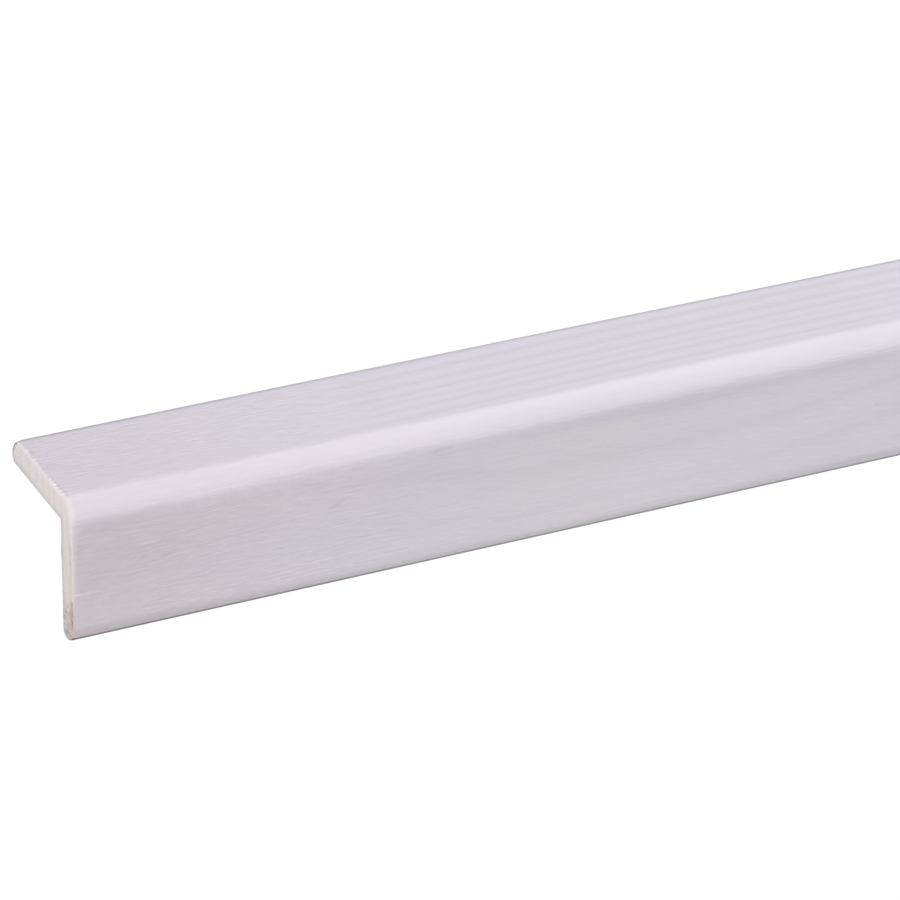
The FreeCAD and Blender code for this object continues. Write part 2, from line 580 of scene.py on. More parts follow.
def maths(tree, operation, *terms, clamp=False):
    """The result of a calculation with these numbers or outputs."""
    node = add_node(tree, "Math", dict(enumerate(terms)), operation=operation, use_clamp=clamp)
    return node.outputs[0]


def vector_maths(tree, operation, *terms):
    """The resulting vector of a calculation with these vectors or outputs."""
    return add_node(tree, "VectorMath", dict(enumerate(terms)), operation=operation).outputs[0]


def total(tree, *terms):
    """The sum of any number of outputs."""
    return reduce(lambda so_far, term: maths(tree, "ADD", so_far, term), terms)


def product(tree, *terms):
    """The product of any number of outputs."""
    return reduce(lambda so_far, term: maths(tree, "MULTIPLY", so_far, term), terms)


def scaled(tree, value, factor, start):
    """The start and, added to it, the value times the factor."""
    return maths(tree, "MULTIPLY_ADD", value, factor, start)


def ramp(tree, value, low, high):
    """0 where the value is at low, 1 at high, with a smooth rise."""
    node = add_node(tree, "MapRange", {"Value": value, "From Min": low, "From Max": high},
                    interpolation_type="SMOOTHSTEP")
    return node.outputs[0]


def bell(tree, value, half, centre=0.0):
    """1 where the value is at the centre, falling off over half on both sides."""
    off = maths(tree, "SUBTRACT", value, centre) if centre else value
    share = maths(tree, "DIVIDE", off, half)
    return maths(tree, "EXPONENT", product(tree, share, share, -1.0))


def new_group(name, inputs, outputs):
    """An empty node group with these sockets; gives it and its input and output nodes."""
    group = bpy.data.node_groups.new(name, "ShaderNodeTree")
    for title, kind in inputs.items():
        group.interface.new_socket(title, in_out="INPUT", socket_type="NodeSocket" + kind)
    for title, kind in outputs.items():
        group.interface.new_socket(title, in_out="OUTPUT", socket_type="NodeSocket" + kind)
    return group, group.nodes.new("NodeGroupInput").outputs, group.nodes.new("NodeGroupOutput").inputs


def use_group(tree, group, values):
    """The outputs of a group placed in the tree."""
    node = tree.nodes.new("ShaderNodeGroup")
    node.node_tree = group
    for socket, value in values.items():
        fill_socket(tree, node.inputs[socket], value)
    return node.outputs


def attribute(tree, name, output="Fac"):
    """A value kept on the mesh."""
    return add_node(tree, "Attribute", attribute_name=name).outputs[output]


# Shared effects

# The noise behind all streaks: its finer steps and their strength, its middle and its spread
STREAK_DETAIL = 2.0
STREAK_ROUGHNESS = 0.55
STREAK_MIDDLE = 0.5
STREAK_SPREAD = 3.0


def growth_rings_group():
    """Lightness and height across the growth rings."""
    group, given, out = new_group(
        "growth_rings", {"Number": "Float", "Show": "Float", "Softness": "Float"}, {"Tone": "Float"})
    off = maths(group, "SUBTRACT", given["Number"], maths(group, "ROUND", given["Number"]))
    line = bell(group, off, given["Softness"])
    level = product(group, given["Softness"], math.sqrt(math.pi))
    tone = product(group, maths(group, "SUBTRACT", level, line), given["Show"])
    group.links.new(tone, out["Tone"])
    return group


def streaks_group():
    """Noise drawn out to patches of this length and width, from about -1 to 1."""
    group, given, out = new_group(
        "streaks", {"Place": "Vector", "Length": "Float", "Width": "Float", "Seed": "Float"},
        {"Value": "Float"})
    parts = add_node(group, "SeparateXYZ", {0: given["Place"]}).outputs
    place = add_node(group, "CombineXYZ", {
        "X": maths(group, "DIVIDE", parts["X"], given["Length"]),
        "Y": maths(group, "DIVIDE", parts["Y"], given["Width"]), "Z": given["Seed"]}).outputs[0]
    pattern = add_node(group, "TexNoise", {"Vector": place, "Scale": 1.0, "Detail": STREAK_DETAIL,
                                           "Roughness": STREAK_ROUGHNESS}).outputs["Fac"]
    off = maths(group, "SUBTRACT", pattern, STREAK_MIDDLE)
    group.links.new(product(group, off, STREAK_SPREAD), out["Value"])
    return group


def mark_group():
    """A soft spot or short stroke at one place on the unrolled face."""
    group, given, out = new_group(
        "mark", {"Place": "Vector", "Centre": "Vector", "Half length": "Float",
                 "Half width": "Float", "Slope": "Float"}, {"Mask": "Float"})
    off = vector_maths(group, "SUBTRACT", given["Place"], given["Centre"])
    parts = add_node(group, "SeparateXYZ", {0: off}).outputs
    across = maths(group, "SUBTRACT", parts["Y"], product(group, parts["X"], given["Slope"]))
    mask = product(group, bell(group, parts["X"], given["Half length"]),
                   bell(group, across, given["Half width"]))
    group.links.new(mask, out["Mask"])
    return group


# The moulding's materials. A pair of girths or distances gives where an effect is nothing and
# where it is full, and a pair of tones gives the factor and the start of a scaled value.

WHITE = (1.0, 1.0, 1.0)
PRIMER = (0.633, 0.603, 0.685)
# A pink of the primer that stands partly for its own tint and partly for painted warm light
PINK_PRIMER_AND_WARM_LIGHT = (0.690, 0.588, 0.664)
# Painted highlight on the tops of the torn fibres
TORN_FIBRE_HIGHLIGHT = (0.88, 0.82, 0.84)
CUT_TIMBER = (0.795, 0.722, 0.718)
# The primer's edge round the sawn end, lightened in part as a painted highlight
FILM_EDGE_HIGHLIGHT = (0.95, 0.86, 0.88)
# Painted shade along the sawn end's rim on the wall side
INNER_RIM_SHADE = (0.56, 0.567, 0.565)
BRUISED_RIM = (0.13, 0.13, 0.13)
PORE = (0.19, 0.085, 0.08)
TIP_TIMBER = (0.49, 0.325, 0.275)
DARK_FLECK = (0.27, 0.24, 0.21)
FLESH_EDGE = (0.74, 0.58, 0.56)
PRIMER_ROUGHNESS = 0.40
CUT_ROUGHNESS = 0.7

# Tints that multiply the primer: on the corner, a painted warm tint of its bright highlight; at the
# near end of the front face, painted shade toward the end; in its middle; and along the sawn arrises,
# part of their painted highlight
CORNER_HIGHLIGHT_TINT = (0.995, 0.978, 0.957)
NEAR_FRONT_SHADE_TINT = (0.972, 0.986, 0.958)
MIDDLE_FRONT_TINT = (0.992, 0.997, 0.955)
ARRIS_HIGHLIGHT_TINT = (1.02, 1.03, 0.965)
NEAR_TINT_REACH = 30.0
MIDDLE_TINT_PLACE = 92.0
MIDDLE_TINT_REACH = 50.0

# Girths at which the front face begins, gets lighter downwards and turns into its lower tip, and
# the corner's crest and reach
FRONT_BEGINS = (29.5, 33.0)
FRONT_LIGHTENS = (32.0, 49.0)
TIP_BEGINS = (44.0, 49.0)
CORNER_CREST = 28.0
CORNER_REACH = 2.4

# Streaks drawn out along the timber, and spots: length, width and seed
GRAIN = (3.6, 0.42, 1.0)
BRUSH = (60.0, 0.9, 4.0)
CLOUDS = (11.0, 4.5, 9.0)
CALM_PATCHES = (12.0, 3.0, 21.0)
SAW_LINES = (3.5, 0.28, 2.0)
FINE_PORES = (0.7, 0.4, 5.0)
SPOTS = (0.9, 0.6, 11.0)
SPECKLE = (0.55, 0.45, 17.0)

# Tones of the faces: the share by which each makes the primer lighter or darker
RING_TONE = 0.09
BRUSH_TONE = 0.012
CLOUD_TONE = 0.012
FRONT_START = -0.02
FRONT_RISE = 0.045
# Painted shadow in the gaps beside the torn fibres, and how much of the painted highlight their tops
# take
FIBRE_GAP_SHADOW = 0.5
FIBRE_HIGHLIGHT_SHARE = 0.8

# How much sharper the ring lines are on the front face
FRONT_SOFTNESS = -0.12

# The grain's tone, what the first stretch adds to it, and how much calmer it is on the corner,
# on the front face and in patches; and the height in millimetres of a grain tone of 1
GRAIN_TONE = 0.048
NEAR_GRAIN_TONE = 0.038
NEAR_GRAIN_FADES = (75.0, 40.0)
CORNER_CALM = -0.75
FRONT_CALM = -0.30
PATCH_CALM = 0.7
FACE_RELIEF = 0.6

# At the near end the front face's grain leans by this much girth, and less farther along
GRAIN_LEAN = (0.0, -4.8, 0.0)
GRAIN_LEAN_FADES = -40.0

# The sawn arris, lighter as a painted highlight where its rounding catches light, and bare timber
# showing along it on the lower tip: how far it reaches and how much lighter it is, with what the
# corner, the front face and the lower tip add to that; and the bare timber along it on the lower tip
ARRIS_REACH = 0.35
ARRIS_REACH_CORNER = 0.5
ARRIS_REACH_FRONT = 0.08
ARRIS_TONE = 0.12
ARRIS_TONE_FRONT = 0.065
ARRIS_TONE_TIP = -0.215
BARE_SHARE = 0.6
BARE_WIDENS = (49.0, 51.5)
BARE_REACH = 0.5

# Painted shade on the crowns of both noses: how far along it is darkest, where each crown is, and its
# tone
NOSE_SHADE_FADES = (95.0, 5.0)
LEVEL_NOSE = (5.6, 4.2)
LEVEL_NOSE_TONE = (-0.13, -0.30)
LOW_NOSE = (52.5, 53.25)
LOW_NOSE_ENDS = (57.0, 55.0)
LOW_NOSE_TONE = (-0.14, -0.80)

# Pink in the primer, partly its own tint and partly painted warm light toward the near end: it fades
# along the piece, sooner on the lower front face than above and below that, and some of it stays along
# the whole front face
PINK_FADES = (84.0, 5.0)
PINK_SOONER = (35.0, 43.0)
PINK_LATER = (46.5, 49.0)
SOONER_SHARE = 0.5
LATER_SHARE = -0.25
PINK_NEAR = 0.38
PINK_NEAR_FRONT = 0.22
PINK_FRONT = 0.08
PINK_CLOUDS = 12.0

# Small marks on the faces, with painted highlight and shade on the level nose's crown, the corner's
# bright band and the lower nose: along, girth, half length, half width, slope, tone
FACE_MARKS_AND_PAINTED_LIGHT = (
    (13.8, 37.5, 2.4, 0.20, -0.06, -0.08),
    (14.2, 37.1, 1.9, 0.20, -0.06, 0.12),
    (6.5, 33.2, 1.8, 0.25, 0.2, -0.04),
    (16.0, 49.8, 5.0, 0.25, 0.0, 0.03),
    (16.8, 40.1, 1.6, 0.20, -0.25, -0.07),
    (24.1, 36.2, 3.0, 0.22, -0.12, -0.06),
    (47.5, 37.7, 1.3, 0.26, -0.42, -0.13),
    (43.7, 32.9, 2.2, 0.22, 0.12, -0.08),
    (44.5, 32.5, 1.8, 0.20, 0.12, 0.05),
    (49.4, 34.7, 2.4, 0.20, 0.07, -0.08),
    (50.0, 34.3, 1.5, 0.18, 0.07, 0.05),
    (0.8, 44.2, 0.5, 0.17, 0.10, 0.26),
    (2.1, 44.25, 0.9, 0.13, 0.06, 0.17),
    (1.0, 8.3, 0.5, 0.50, 0.0, -0.07),
    # These three: painted highlight and shade along the level nose's crown
    (90.0, 5.1, 16.0, 0.45, 0.0, 0.05),
    (146.0, 4.4, 12.0, 0.45, 0.0, -0.07),
    (20.0, 4.6, 24.0, 0.40, 0.0, -0.05),
    (5.0, 32.4, 6.0, 0.80, 0.0, -0.04),
    # These three: painted shade that narrows the corner's bright band and darkens the lower nose
    (90.0, 29.3, 14.0, 0.80, 0.0, -0.04),
    (147.0, 27.8, 9.0, 1.50, 0.0, -0.03),
    (60.0, 52.1, 70.0, 0.45, 0.0, -0.06),
    (66.6, 31.4, 1.9, 0.20, 0.0, -0.05),
    (65.9, 31.6, 0.7, 0.26, -0.2, -0.11),
    (68.6, 31.5, 0.5, 0.24, 0.0, -0.09),
    (61.4, 31.1, 1.0, 0.25, 0.0, -0.06),
    (50.7, 31.6, 0.6, 0.22, 0.0, -0.06),
    (47.0, 31.9, 0.6, 0.25, 0.0, -0.05),
    (0.6, 32.1, 0.9, 0.70, 0.0, 0.10),
    (57.5, 26.8, 4.5, 0.18, 0.0, -0.03),
    (152.3, 41.1, 0.4, 0.28, 0.0, -0.17),
)

# Broad faint tones on the faces, partly the primer's own and partly painted light (painted shade toward
# the near end and along the lower nose, painted highlight and shade shaping the corner's bright band):
# along, girth, half length, half width, slope, tone
BROAD_TONES_AND_PAINTED_LIGHT = (
    # These two: painted shade toward the near end
    (6.0, 42.0, 30.0, 12.0, 0.0, -0.079),
    (6.0, 16.0, 24.0, 16.0, 0.0, -0.035),
    (104.0, 32.2, 36.0, 1.2, 0.0, -0.035),
    (147.0, 31.9, 9.0, 1.2, 0.0, -0.04),
    (110.0, 28.4, 40.0, 0.9, 0.0, -0.03),
    # These two: painted shade along the lower nose
    (8.0, 51.5, 34.0, 0.9, 0.0, -0.09),
    (150.0, 51.5, 14.0, 0.9, 0.0, -0.11),
    (112.0, 43.6, 34.0, 2.2, -0.05, 0.015),
    # These two: painted highlight that widens the corner's bright band near the end
    (8.0, 25.7, 32.0, 1.5, 0.0, 0.035),
    (16.0, 30.4, 26.0, 0.8, 0.0, 0.025),
    (106.0, 47.8, 14.0, 3.0, 0.0, 0.03),
    (58.0, 37.5, 13.0, 4.5, 0.0, -0.013),
    (135.0, 38.5, 25.0, 3.0, 0.0, 0.012),
    (146.0, 13.0, 12.0, 12.0, 0.0, -0.014),
    (148.0, 45.5, 14.0, 3.5, -0.1, -0.022),
    (32.0, 30.8, 18.0, 0.9, 0.0, 0.02),
    (106.0, 36.3, 24.0, 1.4, 0.0, 0.018),
)

# Tones of the sawn end, its relief in millimetres, and the darker band under the front's film
SAWN_RING_TONE = 0.05
SAW_TONE = 0.035
FINE_PORE_TONE = 0.07
SAWN_FACE_RELIEF = 0.5
BAND_BEGINS = (33.0, 36.0)
BAND_DEEPENS = (45.0, 48.5)
BAND_DEPTH = 1.1
BAND_WIDTH = 0.75
BAND_WIDENS = 0.5
BAND_TONE = -0.06
LOW_BAND_TONE = -0.12
UPPER_ENDS = (34.0, 30.0)
UPPER_TONE = 0.03

# Brown timber and dark flecks toward the lower tip: where they begin, in which spots they show,
# and their share; and how the spots break the cracks up
BROWN_BEGINS = (45.0, 50.0)
BROWN_SPOTS = (-0.4, 0.6)
BROWN_SHARE = 0.85
FLECKS_BEGIN = (46.0, 49.5)
FLECK_SPOTS = (0.2, 0.7)
FLECK_SHARE = 0.5
BROKEN_CRACKS = (0.8, 0.9)

# The film's edge round the sawn end, partly lightened as a painted highlight: flesh pink low down, dark
# on both noses, and wider at the corner and on the level leg; and painted shade along the rim on the
# wall side
FILM_TURNS_FLESH = (42.0, 50.0)
BRUISED_LEVEL_NOSE = (4.8, 3.8)
BRUISED_LOW_NOSE = (51.9, 52.9)
FILM_CORNER = 28.5
FILM_CORNER_REACH = 4.0
FILM_LEVEL = (34.0, 28.0)
FILM_WIDTH = 0.36
FILM_WIDER = 0.3
FILM_AT_NOSES = -0.45
RIM_WIDTH = 0.75
RIM_SPECKLE = (0.5, 0.75)

# Dark marks in the end grain: depth, girth, half width, half length, tone
END_MARKS = (
    (0.95, 36.2, 0.22, 0.9, 0.26),
    (1.0, 38.6, 0.20, 0.8, 0.24),
    (1.5, 35.7, 0.40, 0.50, 0.12),
    (1.6, 42.4, 0.35, 0.60, 0.10),
    (0.8, 46.3, 0.45, 0.42, 0.75),
    (4.5, 45.8, 0.40, 0.25, 0.35),
    (0.8, 48.0, 0.34, 0.55, 0.50),
    (1.6, 48.4, 0.34, 0.40, 0.35),
    (0.75, 50.1, 0.34, 0.45, 0.85),
    (0.95, 48.8, 0.55, 2.0, 0.30),
    (2.3, 51.0, 0.35, 0.35, 0.40),
    (1.4, 55.3, 0.50, 0.55, 0.40),
)


def principled(name, roughness):
    """A new material; gives it, its tree and its Principled shader."""
    material = bpy.data.materials.new(name)
    material.use_nodes = True
    shader = material.node_tree.nodes["Principled BSDF"]
    shader.inputs["Roughness"].default_value = roughness
    return material, material.node_tree, shader


def shaded(tree, colour, tone):
    """The colour made lighter or darker by the tone."""
    return vector_maths(tree, "MULTIPLY", colour, maths(tree, "ADD", tone, 1.0))


def mixed(tree, share, colour, other):
    """A blend of two colours: share 0 is the first, 1 the other."""
    node = add_node(tree, "Mix", data_type="RGBA")
    sockets = {s.identifier: s for s in node.inputs}
    fill_socket(tree, sockets["Factor_Float"], share)
    for identifier, value in (("A_Color", colour), ("B_Color", other)):
        fill_socket(tree, sockets[identifier], (*value, 1) if isinstance(value, tuple) else value)
    return next(s for s in node.outputs if s.identifier == "Result_Color")


def streaked(tree, streaks, place, kind):
    """Streaks of one kind, from about -1 to 1."""
    length, width, seed = kind
    values = {"Place": place, "Length": length, "Width": width, "Seed": seed}
    return use_group(tree, streaks, values)["Value"]


def marked(tree, mark, place, marks):
    """The summed tones of a list of marks."""
    tones = []
    for along, across, half_length, half_width, slope, tone in marks:
        mask = use_group(tree, mark, {
            "Place": place, "Centre": (along, across, 0), "Half length": half_length,
            "Half width": half_width, "Slope": slope})["Mask"]
        tones.append(product(tree, mask, tone))
    return total(tree, *tones)


def add_relief(tree, shader, relief, height):
    """Fine relief for the light to catch; height is what a relief of 1 stands for."""
    bump = add_node(tree, "Bump", {"Height": product(tree, relief, height), "Distance": 1.0,
                                   "Strength": 1.0})
    tree.links.new(bump.outputs[0], shader.inputs["Normal"])


def face_places(tree):
    """Where a point of the faces lies, and how far it is on the front, the corner and the tip."""
    place = attribute(tree, "unrolled", "Vector")
    along, girth, from_end = add_node(tree, "SeparateXYZ", {0: place}).outputs
    return {"place": place, "along": along, "girth": girth, "from_end": from_end,
            "front": ramp(tree, girth, *FRONT_BEGINS),
            "corner": bell(tree, girth, CORNER_REACH, CORNER_CREST),
            "tip": ramp(tree, girth, *TIP_BEGINS)}


def face_rings(tree, rings, at):
    """Tone of the growth rings that show through the primer."""
    softness = scaled(tree, at["front"], FRONT_SOFTNESS, RING_SOFTNESS)
    values = {"Number": attribute(tree, "growth"), "Softness": softness,
              "Show": attribute(tree, "ring_show")}
    return product(tree, use_group(tree, rings, values)["Tone"], RING_TONE)


def face_grain(tree, streaks, at, smooth):
    """Tone of the grain: short streaks, with calm patches between them."""
    rough = scaled(tree, ramp(tree, at["along"], *NEAR_GRAIN_FADES), NEAR_GRAIN_TONE, GRAIN_TONE)
    rough = product(tree, rough, scaled(tree, at["front"], FRONT_CALM, smooth))
    calm = product(tree, streaked(tree, streaks, at["place"], CALM_PATCHES), PATCH_CALM)
    rough = product(tree, rough, maths(tree, "ADD", calm, 1.0, clamp=True))
    fade = maths(tree, "EXPONENT", maths(tree, "DIVIDE", at["along"], GRAIN_LEAN_FADES))
    lean = product(tree, fade, at["front"])
    leaning = vector_maths(tree, "MULTIPLY_ADD", GRAIN_LEAN, lean, at["place"])
    return product(tree, streaked(tree, streaks, leaning, GRAIN), rough)


def nose_painted_shade(tree, at):
    """How much painted shade darkens the crowns of both noses."""
    near = ramp(tree, at["along"], *NOSE_SHADE_FADES)
    level = product(tree, ramp(tree, at["girth"], *LEVEL_NOSE), scaled(tree, near, *LEVEL_NOSE_TONE))
    low = product(tree, ramp(tree, at["girth"], *LOW_NOSE), scaled(tree, near, *LOW_NOSE_TONE),
                  ramp(tree, at["girth"], *LOW_NOSE_ENDS))
    return total(tree, level, low)


def arris_highlight(tree, at):
    """How far a point belongs to the sawn arris, and the tone there: a painted highlight, turned
    slightly darker on the lower tip.
    """
    front_reach = scaled(tree, at["front"], ARRIS_REACH_FRONT, ARRIS_REACH)
    arris = bell(tree, at["from_end"], scaled(tree, at["corner"], ARRIS_REACH_CORNER, front_reach))
    light = scaled(tree, at["front"], ARRIS_TONE_FRONT, ARRIS_TONE)
    return arris, product(tree, arris, scaled(tree, at["tip"], ARRIS_TONE_TIP, light))


def bare_timber(tree, at):
    """Share of bare timber along the sawn arris of the lower tip."""
    reach = scaled(tree, ramp(tree, at["girth"], *BARE_WIDENS), BARE_REACH, BARE_REACH)
    return product(tree, bell(tree, at["from_end"], reach), at["tip"], BARE_SHARE)


def pink_tint_and_warm_light(tree, at, cloud):
    """How pink the primer is, partly its own tint and partly painted warm light: most at the near end
    of the front face.
    """
    stretch = scaled(tree, ramp(tree, at["girth"], *PINK_SOONER), SOONER_SHARE, 1.0)
    stretch = scaled(tree, ramp(tree, at["girth"], *PINK_LATER), LATER_SHARE, stretch)
    near = ramp(tree, product(tree, at["along"], stretch), *PINK_FADES)
    share = total(tree, product(tree, near, scaled(tree, at["front"], PINK_NEAR_FRONT, PINK_NEAR)),
                  product(tree, at["front"], PINK_FRONT))
    return maths(tree, "ADD", share, product(tree, cloud, PINK_CLOUDS), clamp=True)


def primer_colour(tree, at, cloud, arris):
    """The primer's pale lilac with its tints, which include painted highlight colour on the corner and
    arrises and painted shade at the near end of the front face.
    """
    colour = mixed(tree, pink_tint_and_warm_light(tree, at, cloud), PRIMER, PINK_PRIMER_AND_WARM_LIGHT)
    near = product(tree, at["front"], bell(tree, at["along"], NEAR_TINT_REACH))
    middle = bell(tree, at["along"], MIDDLE_TINT_REACH, MIDDLE_TINT_PLACE)
    tints = ((at["corner"], CORNER_HIGHLIGHT_TINT), (near, NEAR_FRONT_SHADE_TINT),
             (product(tree, at["front"], middle), MIDDLE_FRONT_TINT), (arris, ARRIS_HIGHLIGHT_TINT))
    for share, tint in tints:
        colour = vector_maths(tree, "MULTIPLY", colour, mixed(tree, share, WHITE, tint))
    return colour


def primer_material(rings, streaks, mark):
    """White primer over planed softwood, whose growth rings and grain show through faintly, with
    painted shade and highlight on its noses, corner, torn fibres and sawn arris.
    """
    material, tree, shader = principled("white_primer", PRIMER_ROUGHNESS)
    at = face_places(tree)
    place = at["place"]
    smooth = scaled(tree, at["corner"], CORNER_CALM, 1.0)
    grain = face_grain(tree, streaks, at, smooth)
    brush = product(tree, streaked(tree, streaks, place, BRUSH), product(tree, smooth, BRUSH_TONE))
    cloud = product(tree, streaked(tree, streaks, place, CLOUDS), CLOUD_TONE)
    rise = scaled(tree, ramp(tree, at["girth"], *FRONT_LIGHTENS), FRONT_RISE, FRONT_START)
    fibre = attribute(tree, "fibre")
    arris, arris_tone = arris_highlight(tree, at)
    tone = total(tree, face_rings(tree, rings, at), grain, brush, cloud,
                 product(tree, rise, at["front"]), nose_painted_shade(tree, at),
                 marked(tree, mark, place, FACE_MARKS_AND_PAINTED_LIGHT), marked(tree, mark, place, BROAD_TONES_AND_PAINTED_LIGHT),
                 product(tree, maths(tree, "MINIMUM", fibre, 0.0), FIBRE_GAP_SHADOW), arris_tone)
    colour = primer_colour(tree, at, cloud, arris)
    # Painted highlight on the torn fibres' tops; the tone above holds painted shadow in the gaps beside
    # them
    torn = maths(tree, "MULTIPLY", fibre, FIBRE_HIGHLIGHT_SHARE, clamp=True)
    colour = mixed(tree, torn, colour, TORN_FIBRE_HIGHLIGHT)
    colour = mixed(tree, bare_timber(tree, at), colour, FLESH_EDGE)
    tree.links.new(shaded(tree, colour, tone), shader.inputs["Base Color"])
    add_relief(tree, shader, total(tree, grain, brush), FACE_RELIEF * MM)
    return material


def sawn_tone(tree, rings, at, saw, pores):
    """Tone of the sawn timber: rings, saw lines, pores and a darker band under the front film."""
    values = {"Number": attribute(tree, "growth"), "Show": 1.0, "Softness": RING_SOFTNESS}
    ring = product(tree, use_group(tree, rings, values)["Tone"], SAWN_RING_TONE)
    low = ramp(tree, at["girth"], *BAND_DEEPENS)
    band = bell(tree, at["depth"], scaled(tree, low, BAND_WIDENS, BAND_WIDTH), BAND_DEPTH)
    band = product(tree, band, scaled(tree, low, LOW_BAND_TONE, BAND_TONE),
                   ramp(tree, at["girth"], *BAND_BEGINS))
    upper = product(tree, ramp(tree, at["girth"], *UPPER_ENDS), UPPER_TONE)
    return total(tree, ring, saw, pores, band, upper)


def brown_tip(tree, mark, at, colour, spots, speckle):
    """The sawn timber's colour with brown, flecks and pores toward the lower tip."""
    tip = product(tree, ramp(tree, at["girth"], *BROWN_BEGINS), ramp(tree, spots, *BROWN_SPOTS),
                  BROWN_SHARE)
    colour = mixed(tree, tip, colour, TIP_TIMBER)
    flecks = product(tree, ramp(tree, at["girth"], *FLECKS_BEGIN), ramp(tree, speckle, *FLECK_SPOTS),
                     FLECK_SHARE)
    colour = mixed(tree, flecks, colour, DARK_FLECK)
    marks = [(d, g, half_d, half_g, 0.0, tone) for d, g, half_d, half_g, tone in END_MARKS]
    cracks = marked(tree, mark, at["place"], marks)
    broken = maths(tree, "MULTIPLY_ADD", spots, *BROKEN_CRACKS, clamp=True)
    return mixed(tree, maths(tree, "MULTIPLY", cracks, broken, clamp=True), colour, PORE)


def film_edges(tree, at, colour, speckle):
    """The sawn end's colour with the primer's edge round the outside, partly a painted highlight, and
    painted shade along the rim inside.
    """
    film = mixed(tree, ramp(tree, at["girth"], *FILM_TURNS_FLESH), FILM_EDGE_HIGHLIGHT, FLESH_EDGE)
    noses = total(tree, ramp(tree, at["girth"], *BRUISED_LEVEL_NOSE),
                  ramp(tree, at["girth"], *BRUISED_LOW_NOSE))
    film = mixed(tree, noses, film, BRUISED_RIM)
    corner = bell(tree, at["girth"], FILM_CORNER_REACH, FILM_CORNER)
    level = ramp(tree, at["girth"], *FILM_LEVEL)
    reach = total(tree, product(tree, corner, FILM_WIDER), product(tree, level, FILM_WIDER), FILM_WIDTH)
    reach = product(tree, reach, scaled(tree, noses, FILM_AT_NOSES, 1.0))
    colour = mixed(tree, bell(tree, at["depth"], reach), colour, film)
    rim = maths(tree, "MULTIPLY", bell(tree, at["inner"], RIM_WIDTH),
                scaled(tree, speckle, *RIM_SPECKLE), clamp=True)
    return mixed(tree, rim, colour, INNER_RIM_SHADE)


def cut_end_material(rings, streaks, mark):
    """Sawn end grain with the primer's edge round it, partly a painted highlight, painted shade along
    the inner rim, and brown pores toward the lower tip.
    """
    material, tree, shader = principled("cut_end", CUT_ROUGHNESS)
    place = attribute(tree, "section", "Vector")
    depth, girth, inner = add_node(tree, "SeparateXYZ", {0: place}).outputs
    at = {"place": place, "depth": depth, "girth": girth, "inner": inner}
    across = add_node(tree, "CombineXYZ", {"X": girth, "Y": depth}).outputs[0]
    saw = product(tree, streaked(tree, streaks, across, SAW_LINES), SAW_TONE)
    pores = product(tree, streaked(tree, streaks, across, FINE_PORES), FINE_PORE_TONE)
    spots = streaked(tree, streaks, across, SPOTS)
    speckle = streaked(tree, streaks, across, SPECKLE)
    colour = shaded(tree, CUT_TIMBER, sawn_tone(tree, rings, at, saw, pores))
    colour = brown_tip(tree, mark, at, colour, spots, speckle)
    tree.links.new(film_edges(tree, at, colour, speckle), shader.inputs["Base Color"])
    add_relief(tree, shader, total(tree, saw, pores), SAWN_FACE_RELIEF * MM)
    return material


def build_moulding():
    """The primed moulding, in place of its plain node."""
    rings, streaks, mark = growth_rings_group(), streaks_group(), mark_group()
    materials = [primer_material(rings, streaks, mark), cut_end_material(rings, streaks, mark)]
    piece = new_mesh_object("primed_corner_moulding", moulding_mesh(), materials)
    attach(piece, "root")
    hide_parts(NODE)


# Floor and light, in metres

FLOOR_SIDE = 12.0
FLOOR_GREY = (0.6, 0.6, 0.6, 1.0)
FLOOR_ROUGHNESS = 0.9
FLOOR_GLOW = 1.05
FLOOR_SHADOW = 0.06
SURROUNDINGS_STRENGTH = 0.07


def floor_material():
    """White to the camera and in gloss, with part of the object's soft shadow left in."""
    material, tree, shader = principled("pale_floor", FLOOR_ROUGHNESS)
    shader.inputs["Base Color"].default_value = FLOOR_GREY
    path = add_node(tree, "LightPath").outputs
    seen = maths(tree, "MAXIMUM", path["Is Camera Ray"], path["Is Glossy Ray"])
    seen = maths(tree, "MAXIMUM", seen, path["Is Transmission Ray"])
    glow = add_node(tree, "Emission", {"Strength": FLOOR_GLOW})
    blend = add_node(tree, "MixShader", {"Fac": product(tree, seen, 1 - FLOOR_SHADOW),
                                         1: shader.outputs[0], 2: glow.outputs[0]})
    tree.links.new(blend.outputs[0], tree.nodes["Material Output"].inputs["Surface"])
    return material


def build_floor():
    """A plain pale floor under the moulding."""
    bm = bmesh.new()
    bmesh.ops.create_grid(bm, x_segments=1, y_segments=1, size=FLOOR_SIDE / 2)
    new_mesh_object("floor", bm, [floor_material()])


# Lamps longer than the moulding, over it: name, tilt to the back, width, power and colour
STRIP_LAMPS = (
    ("overhead", 0, 0.4, 25.5, WHITE),
    ("front", -30, 0.4, 21.5, (1.0, 0.995, 0.975)),
)
STRIP_LENGTH = 5.0

# Square lamps round a place by the near end: name, azimuth, elevation, size and power
SPOT_LAMPS = (
    ("back_low", 65, 22, 0.6, 6.1),
    ("back_high", 45, 48, 0.5, 4.7),
    ("end", 182, 8, 0.5, 8.0),
)
LAMP_DISTANCE = 1.5
AIM_FROM_END = 0.1
SPOT_AIM = (NEAR_END * MM + AIM_FROM_END, 0, 0)


def area_lamp(name, place, aim, size, power, colour=WHITE):
    """A rectangular lamp at place that faces aim; size is its width and height."""
    data = bpy.data.lights.new(name, "AREA")
    data.shape = "RECTANGLE"
    data.size, data.size_y = size
    data.energy = power
    data.color = colour
    lamp = bpy.data.objects.new(name, data)
    lamp.location = place
    lamp.rotation_euler = (Vector(aim) - Vector(place)).to_track_quat("-Z", "Y").to_euler()
    bpy.context.scene.collection.objects.link(lamp)


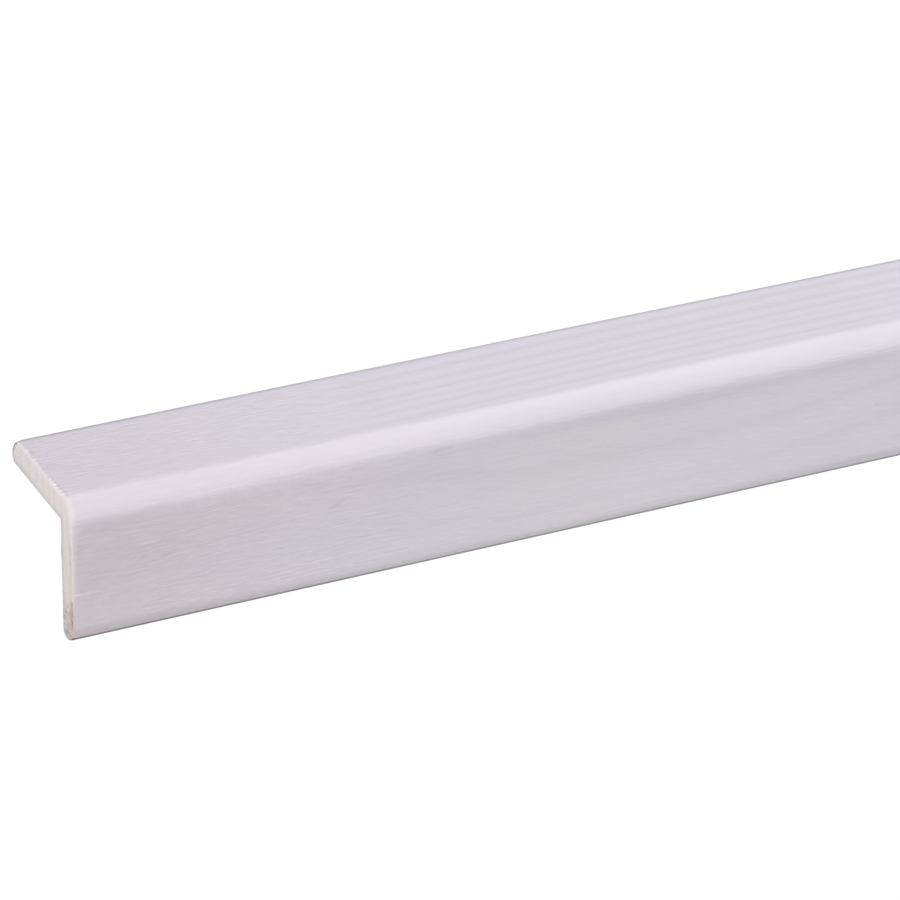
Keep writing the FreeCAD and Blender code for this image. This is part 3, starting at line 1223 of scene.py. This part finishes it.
def build_world():
    """Even pale surroundings."""
    world = bpy.data.worlds.new("surroundings")
    world.use_nodes = True
    background = world.node_tree.nodes["Background"]
    background.inputs["Color"].default_value = (*WHITE, 1)
    background.inputs["Strength"].default_value = SURROUNDINGS_STRENGTH
    bpy.context.scene.world = world


def strip_lamp(name, tilt, width, power, colour):
    """One of the long lamps."""
    angle = math.radians(tilt)
    place = (0, LAMP_DISTANCE * math.sin(angle), LAMP_DISTANCE * math.cos(angle))
    area_lamp(name, place, (0, 0, 0), (STRIP_LENGTH, width), power, colour)


def spot_lamp(name, azimuth, elevation, size, power):
    """One of the square lamps."""
    turn, rise = math.radians(azimuth), math.radians(elevation)
    way = Vector((math.cos(rise) * math.cos(turn), math.cos(rise) * math.sin(turn), math.sin(rise)))
    area_lamp(name, Vector(SPOT_AIM) + LAMP_DISTANCE * way, SPOT_AIM, (size, size), power)


def build_lamps():
    """Long soft lamps above, and smaller ones that edge the rounded corner with light."""
    for lamp in STRIP_LAMPS:
        strip_lamp(*lamp)
    for lamp in SPOT_LAMPS:
        spot_lamp(*lamp)


# Camera: its turns against the section, distance from the near end's outer corner, range in metres
# and sensor, and the picture's side, focal length and corner in pixels

CAMERA_TURN = math.radians(26.213)
CAMERA_TILT = math.radians(28.648)
CAMERA_ROLL = math.radians(1.18)
CAMERA_DISTANCE = 781.78
CAMERA_RANGE = (0.01, 100)
SENSOR = 36.0
PICTURE_SIDE = 900
FOCAL_PIXELS = 4799.4
CORNER_PIXEL = (71.36, 506.25)


def build_camera():
    """The viewpoint: the near end's outer corner falls on CORNER_PIXEL of the picture."""
    data = bpy.data.cameras.new("camera")
    data.sensor_width = SENSOR
    data.lens = SENSOR * FOCAL_PIXELS / PICTURE_SIDE
    data.clip_start, data.clip_end = CAMERA_RANGE
    turn = (Matrix.Rotation(REST_TURN, 3, "X") @ Matrix.Rotation(-CAMERA_TURN, 3, "Z")
            @ Matrix.Rotation(math.pi / 2 - CAMERA_TILT, 3, "X")
            @ Matrix.Rotation(CAMERA_ROLL, 3, "Z"))
    half = PICTURE_SIDE / 2
    across = (CORNER_PIXEL[0] - half) * CAMERA_DISTANCE / FOCAL_PIXELS
    up = (half - CORNER_PIXEL[1]) * CAMERA_DISTANCE / FOCAL_PIXELS
    corner = Vector((NEAR_END, 0, CORNER_LINE_HEIGHT))
    place = (corner - turn @ Vector((across, up, -CAMERA_DISTANCE))) * MM
    camera = bpy.data.objects.new("camera", data)
    camera.matrix_world = Matrix.Translation(place) @ turn.to_4x4()
    bpy.context.scene.collection.objects.link(camera)
    bpy.context.scene.camera = camera


build_moulding()
build_floor()
build_world()
build_lamps()
build_camera()
bpy.context.scene.view_settings.view_transform = "Standard"
